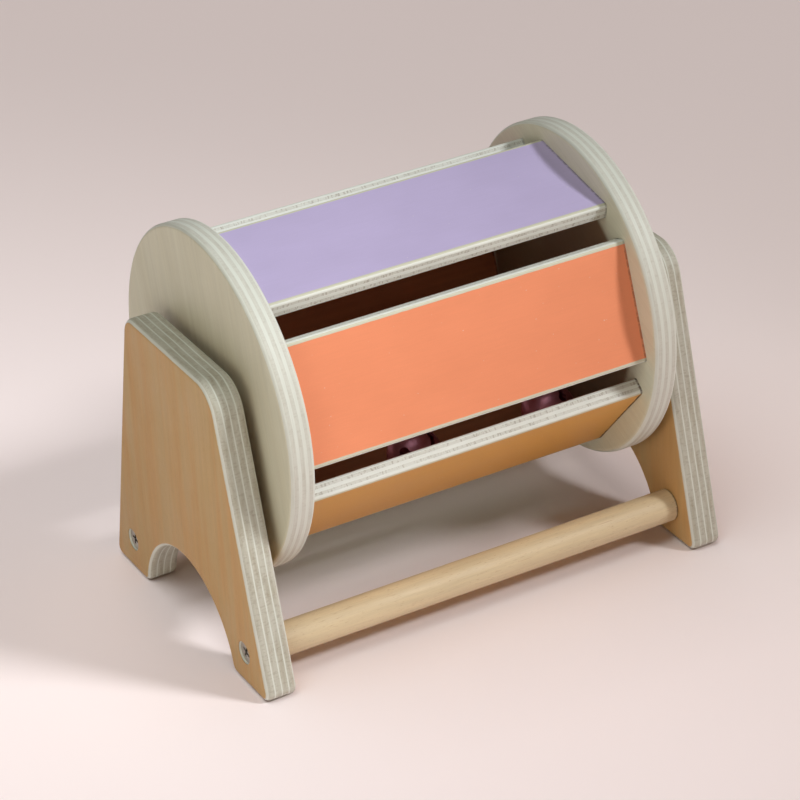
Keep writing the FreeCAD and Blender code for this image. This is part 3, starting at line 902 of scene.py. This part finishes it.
class SPINDRUM_OT_bells(bpy.types.Operator):
    """Finish the two jingle bells and their pellets"""
    bl_idname = "spindrum.bells"
    bl_label = "Bells"

    def execute(self, context):
        look = context.scene.spindrum_finishes
        for bell in ("bell_1", "bell_2"):
            shell = metal_material(bell + "_metal", middle(bell + "_shell"), look.bell, 0.36, 0.55)
            coated(bell + "_shell", shell)
            coated(bell + "_loop", shell)
            coated(bell + "_pellet", metal_material(bell + "_pellet_steel", middle(bell + "_pellet"),
                                                    look.steel, 0.3, 0.5))
        return {"FINISHED"}


class SPINDRUM_OT_stage(bpy.types.Operator):
    """Make the floor, the lamps and the camera"""
    bl_idname = "spindrum.stage"
    bl_label = "Stage"

    def execute(self, context):
        scene, stage = context.scene, context.scene.spindrum_stage
        low, high = CAD_BOX
        focus = (low + high) / 2

        floor_mesh = bpy.data.meshes.new("floor")
        floor_mesh.from_pydata([(FLOOR_REACH * x, FLOOR_REACH * y, low.z)
                                for x, y in ((-1, -1), (1, -1), (1, 1), (-1, 1))], [], [(0, 1, 2, 3)])
        paper = Finish("floor_paper", (0, 0, 0), ALONG, UPRIGHT)
        soft = paper.graph.noise(paper.point, (0.004, 0.004, 0.004), 2)
        tone = paper.graph.lighter(opaque(scene.spindrum_finishes.floor), soft, 0.02)
        fibre = paper.graph.noise(paper.point, (0.8, 0.8, 0.8), 3)
        rough = paper.graph.between(fibre, 0.75, 0.9)
        floor = placed("floor", floor_mesh, paper.finish(tone, rough, fibre, PAPER_RELIEF))

        def lamp(name, kind, target, way, distance, power, tint):
            light = bpy.data.lights.new(name, kind)
            light.energy, light.color = power, tint
            thing = bpy.data.objects.new(name, light)
            scene.collection.objects.link(thing)
            way = Vector(way).normalized()
            thing.location = target + way * distance
            thing.rotation_euler = way.to_track_quat("Z", "Y").to_euler()
            thing.visible_camera = False
            return light

        key = lamp("key_lamp", "SPOT", focus + KEY_AIM, (0.597, -0.525, 0.606), 1.7, stage.key_power,
                   (0.98, 1.0, 1.0))
        key.spot_size, key.spot_blend, key.shadow_soft_size = KEY_CONE, 1.0, 0.2
        for name, way, distance, width, watts, tint in (
                ("top_lamp", (-0.35, -0.15, 1.0), 1.6, 1.0, stage.top_power, (0.86, 1.0, 0.98)),
                ("side_lamp", (-0.82, -0.50, 0.28), 0.55, 0.35, stage.side_power, (1.0, 0.93, 0.78)),
                ("warm_lamp", (0.75, -0.60, 0.12), 0.5, 0.3, stage.warm_power, (1.0, 0.58, 0.30)),
                ("rear_lamp", (0.25, 1.0, 0.75), 1.6, 1.0, stage.rear_power, (1.0, 0.97, 0.86))):
            soft_box = lamp(name, "AREA", focus, way, distance, watts, tint)
            soft_box.shape, soft_box.size = "DISK", width
        backdrop = lamp("backdrop_lamp", "SUN", focus, (-0.2, 0.3, 1.0), 1.4, stage.backdrop_strength,
                        (1.0, 0.98, 0.97))
        backdrop.angle = BACKDROP_SPREAD
        for lamp_name, state in (("backdrop_lamp", "INCLUDE"), ("side_lamp", "EXCLUDE")):
            reached = bpy.data.collections.new(lamp_name + "_reach")
            reached.objects.link(floor)
            reached.collection_objects[0].light_linking.link_state = state
            bpy.data.objects[lamp_name].light_linking.receiver_collection = reached

        world = bpy.data.worlds.new("room")
        world.use_nodes = True
        graph, room = Graph(world.node_tree), world.node_tree.nodes["Background"].inputs
        seen = graph.add("ShaderNodeLightPath").outputs["Is Camera Ray"]
        graph.feed(room["Color"], graph.mixed(seen, ROOM_TINT, opaque(scene.spindrum_finishes.floor)))
        graph.feed(room["Strength"], graph.mixed_value(seen, stage.sky, ROOM_SEEN))
        scene.world = world
        scene.view_settings.view_transform = "Standard"

        camera = bpy.data.cameras.new("camera")
        camera.lens, camera.sensor_width = stage.lens, SENSOR_WIDTH
        thing = bpy.data.objects.new("camera", camera)
        scene.collection.objects.link(thing)
        thing.matrix_world = Matrix.Translation(CAMERA_PLACE) @ Matrix(CAMERA_AXES).transposed().to_4x4()
        scene.camera = thing
        return {"FINISHED"}


class SPINDRUM_PT_sidebar(bpy.types.Panel):
    """Lists the pieces that the tool makes"""
    bl_label = "Spinning drum"
    bl_idname = "SPINDRUM_PT_sidebar"
    bl_space_type = "VIEW_3D"
    bl_region_type = "UI"
    bl_category = "Spinning drum"

    def draw(self, context):
        for step in STEPS:
            self.layout.operator(step.bl_idname)


STEPS = [SPINDRUM_OT_stage, SPINDRUM_OT_stands, SPINDRUM_OT_discs, SPINDRUM_OT_slats, SPINDRUM_OT_dowels,
         SPINDRUM_OT_axles, SPINDRUM_OT_screws, SPINDRUM_OT_bells]
SETTINGS = {"spindrum_sizes": SPINDRUM_Sizes, "spindrum_finishes": SPINDRUM_Finishes,
            "spindrum_stage": SPINDRUM_Stage}


def register():
    for group in SETTINGS.values():
        bpy.utils.register_class(group)
    for name, group in SETTINGS.items():
        setattr(bpy.types.Scene, name, PointerProperty(type=group))
    for step in STEPS:
        bpy.utils.register_class(step)
    bpy.utils.register_class(SPINDRUM_PT_sidebar)


def unregister():
    bpy.utils.unregister_class(SPINDRUM_PT_sidebar)
    for step in reversed(STEPS):
        bpy.utils.unregister_class(step)
    for name, group in SETTINGS.items():
        delattr(bpy.types.Scene, name)
        bpy.utils.unregister_class(group)


def main():
    register()
    for step in STEPS:
        section, action = step.bl_idname.split(".")
        getattr(getattr(bpy.ops, section), action)()


if __name__ == "__main__":
    main()
